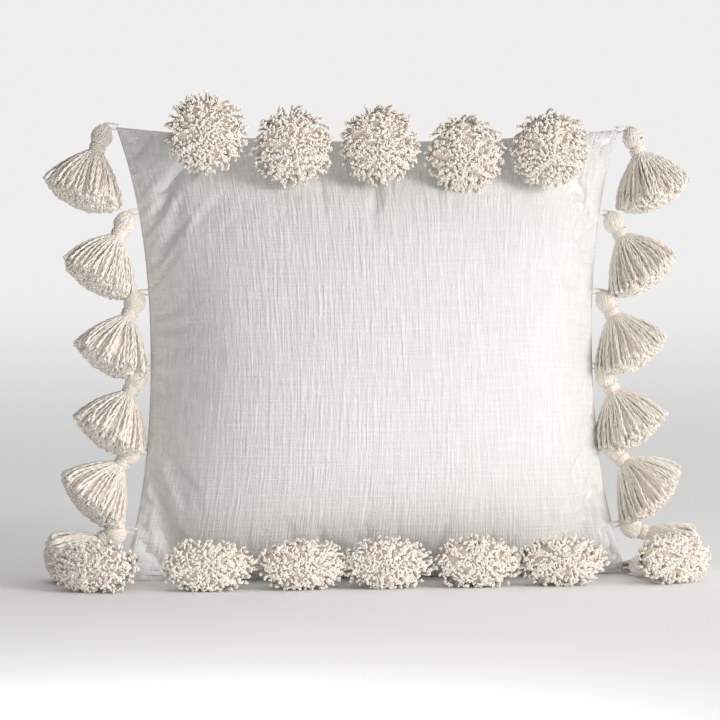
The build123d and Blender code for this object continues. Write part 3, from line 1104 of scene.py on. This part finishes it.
WARP_TURNS = 4600         # radians of thread relief per metre across the cloth
WEFT_TURNS = 4000         # and along it


def weave_group():
    """Plain weave with slubs: thread relief and slub relief along cloth places, and a tone that is
    painted shade and light: the relief's height as a share, darker in the weave's low places and
    lighter on raised threads and slubs.
    """
    name = "Slub weave"
    if name in bpy.data.node_groups:
        return bpy.data.node_groups[name]
    group, start, end = node_group(
        name,
        [("Place", "NodeSocketVector", None), ("Thread", "NodeSocketFloat", 1.0),
         ("Slub", "NodeSocketFloat", 1.0)],
        [("Height", "NodeSocketFloat"), ("Tone", "NodeSocketFloat")],
    )
    place = start.outputs["Place"]
    bent = group.nodes.new("ShaderNodeVectorMath")
    bent.operation = "MULTIPLY_ADD"
    wander = group.nodes.new("ShaderNodeTexNoise")
    wander.inputs["Scale"].default_value = 60
    wander.inputs["Detail"].default_value = 2
    group.links.new(place, wander.inputs["Vector"])
    group.links.new(wander.outputs["Color"], bent.inputs[0])
    bent.inputs[1].default_value = (0.0012, 0.0012, 0)
    group.links.new(place, bent.inputs[2])
    place = bent.outputs[0]
    split = group.nodes.new("ShaderNodeSeparateXYZ")
    group.links.new(place, split.inputs[0])
    warp = math_node(group, "SINE", math_node(group, "MULTIPLY", split.outputs[0], WARP_TURNS))
    weft = math_node(group, "SINE", math_node(group, "MULTIPLY", split.outputs[1], WEFT_TURNS))
    threads = math_node(group, "MULTIPLY", warp, weft)
    threads = math_node(group, "MULTIPLY", threads, start.outputs["Thread"])
    long_slub = noise(group, scaled_place(group, place, (430, 30, 1)), 1.0, 1.5)
    wide_slub = noise(group, scaled_place(group, place, (230, 17, 1)), 1.0, 1.0)
    cross_slub = noise(group, scaled_place(group, place, (14, 330, 1)), 1.0, 1.5)
    ribs = math_node(group, "ADD", ranged(group, long_slub, 0.38, 0.68),
                     ranged(group, wide_slub, 0.45, 0.7, 0, 0.8))
    ribs = math_node(group, "ADD", ribs, ranged(group, cross_slub, 0.42, 0.7, 0, 0.6))
    slubs = math_node(group, "MULTIPLY", ribs, start.outputs["Slub"])
    height = math_node(group, "ADD", math_node(group, "MULTIPLY", threads, 0.25), slubs)
    fine = noise(group, place, 1500, 2, 0.6)
    grain = ranged(group, noise(group, place, 620, 2, 0.55), 0.3, 0.7, 0, 0.75)
    height = math_node(group, "ADD", height, math_node(group, "MULTIPLY", fine, 0.3))
    height = math_node(group, "ADD", height, grain)
    group.links.new(height, end.inputs["Height"])
    # Tone is painted shade and light: low places in the relief darker, raised threads and slubs
    # lighter.
    group.links.new(ranged(group, height, 0.3, 2.8), end.inputs["Tone"])
    return group


def yarn_group():
    """Fibres along a soft yarn: relief and tone, along yarn places."""
    name = "Yarn fibres"
    if name in bpy.data.node_groups:
        return bpy.data.node_groups[name]
    group, start, end = node_group(
        name,
        [("Place", "NodeSocketVector", None), ("Fuzz", "NodeSocketFloat", 1.0)],
        [("Height", "NodeSocketFloat"), ("Tone", "NodeSocketFloat")],
    )
    place = start.outputs["Place"]
    fibres = noise(group, scaled_place(group, place, (2600, 350, 900)), 1.0, 3, 0.6)
    lumps = noise(group, scaled_place(group, place, (300, 160, 500)), 1.0, 2, 0.5)
    height = math_node(group, "ADD", fibres, math_node(group, "MULTIPLY", lumps, 0.8))
    height = math_node(group, "MULTIPLY", height, start.outputs["Fuzz"])
    group.links.new(height, end.inputs["Height"])
    group.links.new(ranged(group, lumps, 0.3, 0.7), end.inputs["Tone"])
    return group


def mixed(tree, factor, first, second):
    node = tree.nodes.new("ShaderNodeMix")
    node.data_type = "RGBA"
    tree.links.new(factor, node.inputs[0])
    node.inputs[6].default_value = (*first, 1)
    node.inputs[7].default_value = (*second, 1)
    return node.outputs[2]


def attribute(tree, name, socket):
    node = tree.nodes.new("ShaderNodeAttribute")
    node.attribute_name = name
    return node.outputs[socket]


def plain_material(name, roughness):
    """A material with a Principled shader, and its tree."""
    material = bpy.data.materials.new(name)
    material.use_nodes = True
    shader = material.node_tree.nodes["Principled BSDF"]
    shader.inputs["Roughness"].default_value = roughness
    return material, material.node_tree, shader


def bumped(tree, shader, height, strength, distance):
    bump = tree.nodes.new("ShaderNodeBump")
    bump.inputs["Strength"].default_value = strength
    bump.inputs["Distance"].default_value = distance
    tree.links.new(height, bump.inputs["Height"])
    tree.links.new(bump.outputs[0], shader.inputs["Normal"])


def finish_called(name):
    """The material of that name, built once."""
    return bpy.data.materials.get(name) or FINISHES[name](name)


def build_cotton(name):
    material, tree, shader = plain_material(name, 0.92)
    shader.inputs["Sheen Weight"].default_value = 0.15
    shader.inputs["Sheen Roughness"].default_value = 0.6
    weave = tree.nodes.new("ShaderNodeGroup")
    weave.node_tree = weave_group()
    tree.links.new(attribute(tree, "cloth_place", "Vector"), weave.inputs["Place"])
    weave.inputs["Thread"].default_value = 1.0
    weave.inputs["Slub"].default_value = 1.0
    c = np.array(settings().colour)
    # Painted shade: the weave's low places take the darker colour, its raised threads and slubs the
    # lighter.
    colour = mixed(tree, weave.outputs["Tone"], c * 0.90, np.minimum(c * 1.05, 1))
    tree.links.new(colour, shader.inputs["Base Color"])
    bumped(tree, shader, weave.outputs["Height"], 0.8, 0.0006)
    return material


def build_yarn(name):
    material, tree, shader = plain_material(name, 0.9)
    shader.inputs["Sheen Weight"].default_value = 0.25
    shader.inputs["Sheen Roughness"].default_value = 0.5
    fibres = tree.nodes.new("ShaderNodeGroup")
    fibres.node_tree = yarn_group()
    tree.links.new(attribute(tree, "yarn_place", "Vector"), fibres.inputs["Place"])
    fibres.inputs["Fuzz"].default_value = 1.0
    tone = attribute(tree, "yarn_tone", "Fac")
    both = math_node(tree, "ADD", math_node(tree, "MULTIPLY", tone, 0.6),
                     math_node(tree, "MULTIPLY", fibres.outputs["Tone"], 0.4))
    c = np.array(tassel_settings().colour)
    # The dark end gives the low-tone yarns their tan and, at tone 0, paints shade on the packed
    # middles seen between the yarns.
    colour = mixed(tree, both, c * (0.87, 0.79, 0.71), np.minimum(c * 1.03, 0.98))
    tree.links.new(colour, shader.inputs["Base Color"])
    bumped(tree, shader, fibres.outputs["Height"], 0.6, 0.0004)
    return material


def object_place(tree):
    node = tree.nodes.new("ShaderNodeTexCoord")
    return node.outputs["Object"]


def build_ticking(name):
    material, tree, shader = plain_material(name, 0.9)
    weave = tree.nodes.new("ShaderNodeGroup")
    weave.node_tree = weave_group()
    tree.links.new(object_place(tree), weave.inputs["Place"])
    weave.inputs["Slub"].default_value = 0.2
    # Painted shade: the weave's low places take the darker colour, its raised threads the lighter.
    colour = mixed(tree, weave.outputs["Tone"], (0.86, 0.86, 0.85), (0.93, 0.93, 0.92))
    tree.links.new(colour, shader.inputs["Base Color"])
    bumped(tree, shader, weave.outputs["Height"], 0.4, 0.0004)
    return material


def build_fibre(name):
    material, tree, shader = plain_material(name, 0.8)
    wisps = noise(tree, object_place(tree), 120, 6, 0.7)
    tree.links.new(mixed(tree, wisps, (0.85, 0.86, 0.87), (0.97, 0.97, 0.97)),
                   shader.inputs["Base Color"])
    bumped(tree, shader, wisps, 0.8, 0.004)
    return material


def build_tape(name):
    material, tree, shader = plain_material(name, 0.85)
    turned = tree.nodes.new("ShaderNodeMapping")
    turned.inputs["Rotation"].default_value = (math.radians(90), 0, 0)
    tree.links.new(object_place(tree), turned.inputs["Vector"])
    weave = tree.nodes.new("ShaderNodeGroup")
    weave.node_tree = weave_group()
    tree.links.new(turned.outputs[0], weave.inputs["Place"])
    weave.inputs["Thread"].default_value = 1.2
    weave.inputs["Slub"].default_value = 0.1
    # Painted shade: the weave's low places take the darker colour, its raised threads the lighter.
    colour = mixed(tree, weave.outputs["Tone"], (0.74, 0.71, 0.65), (0.86, 0.83, 0.77))
    tree.links.new(colour, shader.inputs["Base Color"])
    bumped(tree, shader, weave.outputs["Height"], 0.5, 0.0004)
    return material


def build_nylon(name):
    material, tree, shader = plain_material(name, 0.38)
    marks = noise(tree, object_place(tree), 900, 3, 0.6)
    tree.links.new(mixed(tree, marks, (0.78, 0.75, 0.69), (0.86, 0.84, 0.79)),
                   shader.inputs["Base Color"])
    bumped(tree, shader, marks, 0.15, 0.0002)
    return material


def build_metal(name):
    material, tree, shader = plain_material(name, 0.35)
    place = object_place(tree)
    marks = noise(tree, place, 700, 4, 0.6)
    wear = ranged(tree, noise(tree, place, 260, 5, 0.7), 0.58, 0.66)
    tree.links.new(mixed(tree, wear, (0.83, 0.80, 0.74), (0.55, 0.54, 0.52)),
                   shader.inputs["Base Color"])
    tree.links.new(ranged(tree, marks, 0.3, 0.7, 0.28, 0.45), shader.inputs["Roughness"])
    tree.links.new(ranged(tree, wear, 0, 1, 0.0, 0.8), shader.inputs["Metallic"])
    bumped(tree, shader, marks, 0.1, 0.0002)
    return material


FINISHES = {
    "Slub cotton": build_cotton,
    "Sewing thread": build_yarn,
    "Tassel yarn": build_yarn,
    "Cotton ticking": build_ticking,
    "Polyester fibre": build_fibre,
    "Zip tape": build_tape,
    "Nylon coil": build_nylon,
    "Painted zinc": build_metal,
}


# ---- stage ----


def aim(obj, place, target):
    obj.location = place
    obj.rotation_euler = (Vector(target) - Vector(place)).to_track_quat("-Z", "Y").to_euler()
    bpy.context.scene.collection.objects.link(obj)


def soft_light(name, place, target, size, power, colour):
    lamp = bpy.data.lights.new(name, "AREA")
    lamp.shape = "DISK"
    lamp.size = size
    lamp.energy = power
    lamp.color = colour
    aim(bpy.data.objects.new(name, lamp), place, target)


def surround_strength(tree, direction, behind, before):
    """Brightness of the surround: it lights from behind and the right, and looks even."""
    split = tree.nodes.new("ShaderNodeSeparateXYZ")
    tree.links.new(direction, split.inputs[0])
    aside = math_node(tree, "MULTIPLY", split.outputs["X"], 0.7)
    facing = math_node(tree, "ADD", math_node(tree, "MULTIPLY", split.outputs["Y"], 0.7), aside)
    node = tree.nodes.new("ShaderNodeMix")
    tree.links.new(tree.nodes.new("ShaderNodeLightPath").outputs["Is Camera Ray"], node.inputs[0])
    tree.links.new(ranged(tree, facing, -0.1, 0.66, before, behind), node.inputs[2])
    node.inputs[3].default_value = behind
    return node.outputs[0]


def white_surround(behind, before):
    """The white surround that the pillow stands in."""
    world = bpy.data.worlds.new("Surround")
    world.use_nodes = True
    tree = world.node_tree
    direction = tree.nodes.new("ShaderNodeTexCoord").outputs["Generated"]
    strength = surround_strength(tree, direction, behind, before)
    tree.links.new(strength, tree.nodes["Background"].inputs["Strength"])
    tree.nodes["Background"].inputs["Color"].default_value = (1, 1, 1, 1)
    return world


def floor_material(behind, before):
    """Pale matt floor that runs out into the surround, so that no edge shows far away."""
    material, tree, shader = plain_material("Pale floor", 0.8)
    place = object_place(tree)
    mottle = noise(tree, place, 3, 3)
    tree.links.new(mixed(tree, mottle, (0.93, 0.93, 0.93), (0.95, 0.95, 0.95)),
                   shader.inputs["Base Color"])
    away = tree.nodes.new("ShaderNodeVectorMath")
    away.operation = "LENGTH"
    tree.links.new(place, away.inputs[0])
    outward = tree.nodes.new("ShaderNodeVectorMath")
    outward.operation = "NORMALIZE"
    tree.links.new(place, outward.inputs[0])
    glow = tree.nodes.new("ShaderNodeEmission")
    tree.links.new(surround_strength(tree, outward.outputs[0], behind, before),
                   glow.inputs["Strength"])
    both = tree.nodes.new("ShaderNodeMixShader")
    distance = away.outputs["Value"]
    faded = math_node(tree, "DIVIDE", distance, math_node(tree, "ADD", distance, 2.6))
    share = ranged(tree, faded, 0.22, 0.9)
    share.node.interpolation_type = "SMOOTHSTEP"
    tree.links.new(share, both.inputs[0])
    tree.links.new(shader.outputs[0], both.inputs[1])
    tree.links.new(glow.outputs[0], both.inputs[2])
    tree.links.new(both.outputs[0], tree.nodes["Material Output"].inputs["Surface"])
    return material


class PILLOW_OT_stage(bpy.types.Operator):
    """Set the pale floor, the soft lights and the camera"""
    bl_idname = "pillow.stage"
    bl_label = "Stage"

    def execute(self, context):
        s = context.scene.pillow_stage
        reach = 40.0
        corners = [(-reach, -reach, 0), (reach, -reach, 0), (reach, reach, 0), (-reach, reach, 0)]
        floor = mesh_object("floor", corners, [[[0, 1, 2, 3]]])
        floor.location.z = -0.0002
        floor.data.materials.append(floor_material(s.sky, s.front_sky))
        context.scene.world = white_surround(s.sky, s.front_sky)
        middle = (0, 0, 0.2)
        overhead = bpy.data.lights.new("Overhead", "SUN")
        overhead.energy = s.top_strength
        overhead.angle = math.radians(70)
        aim(bpy.data.objects.new("Overhead", overhead), (0, -0.3, 3), (0, 0, 0))
        soft_light("Key", (3.45, -2.95, 1.3), middle, 2.4, s.key_power, (1.0, 0.985, 0.965))
        soft_light("Low fill", (-0.25, -1.0, 0.1), (-0.1, 0, 0.0), 0.5, s.fill_power, (1, 1, 1))
        bpy.data.objects["Low fill"].visible_camera = False
        camera = bpy.data.objects.new("Camera", bpy.data.cameras.new("Camera"))
        camera.data.lens = s.lens
        target = (-0.012, 0, 0.208)
        place = (
            target[0] - s.distance * math.sin(s.bearing),
            -s.distance * math.cos(s.bearing),
            s.height,
        )
        aim(camera, place, target)
        context.scene.camera = camera
        context.scene.view_settings.view_transform = "Standard"
        return {"FINISHED"}


class PILLOW_PT_panel(bpy.types.Panel):
    """Lists the pillow's pieces in the order they are made"""
    bl_idname = "PILLOW_PT_panel"
    bl_label = "Pillow"
    bl_space_type = "VIEW_3D"
    bl_region_type = "UI"
    bl_category = "Pillow"

    def draw(self, context):
        for operator in OPERATORS:
            self.layout.operator(operator.bl_idname)
        scene = context.scene
        for group in (scene.pillow_cover, scene.pillow_tassels, scene.pillow_stage):
            for name in group.bl_rna.properties.keys():
                if name not in ("rna_type", "name"):
                    self.layout.prop(group, name)


OPERATORS = (
    PILLOW_OT_stage, PILLOW_OT_cover_front, PILLOW_OT_cover_back, PILLOW_OT_insert,
    PILLOW_OT_tassels, PILLOW_OT_loops, PILLOW_OT_zip,
)
SETTINGS = (PillowCover, PillowTassels, PillowStage)


def register():
    for cls in (*SETTINGS, *OPERATORS, PILLOW_PT_panel):
        bpy.utils.register_class(cls)
    bpy.types.Scene.pillow_cover = bpy.props.PointerProperty(type=PillowCover)
    bpy.types.Scene.pillow_tassels = bpy.props.PointerProperty(type=PillowTassels)
    bpy.types.Scene.pillow_stage = bpy.props.PointerProperty(type=PillowStage)


def unregister():
    del bpy.types.Scene.pillow_stage
    del bpy.types.Scene.pillow_tassels
    del bpy.types.Scene.pillow_cover
    for cls in reversed((*SETTINGS, *OPERATORS, PILLOW_PT_panel)):
        bpy.utils.unregister_class(cls)


def main():
    register()
    for operator in OPERATORS:
        group, name = operator.bl_idname.split(".")
        getattr(getattr(bpy.ops, group), name)()


if __name__ == "__main__":
    main()
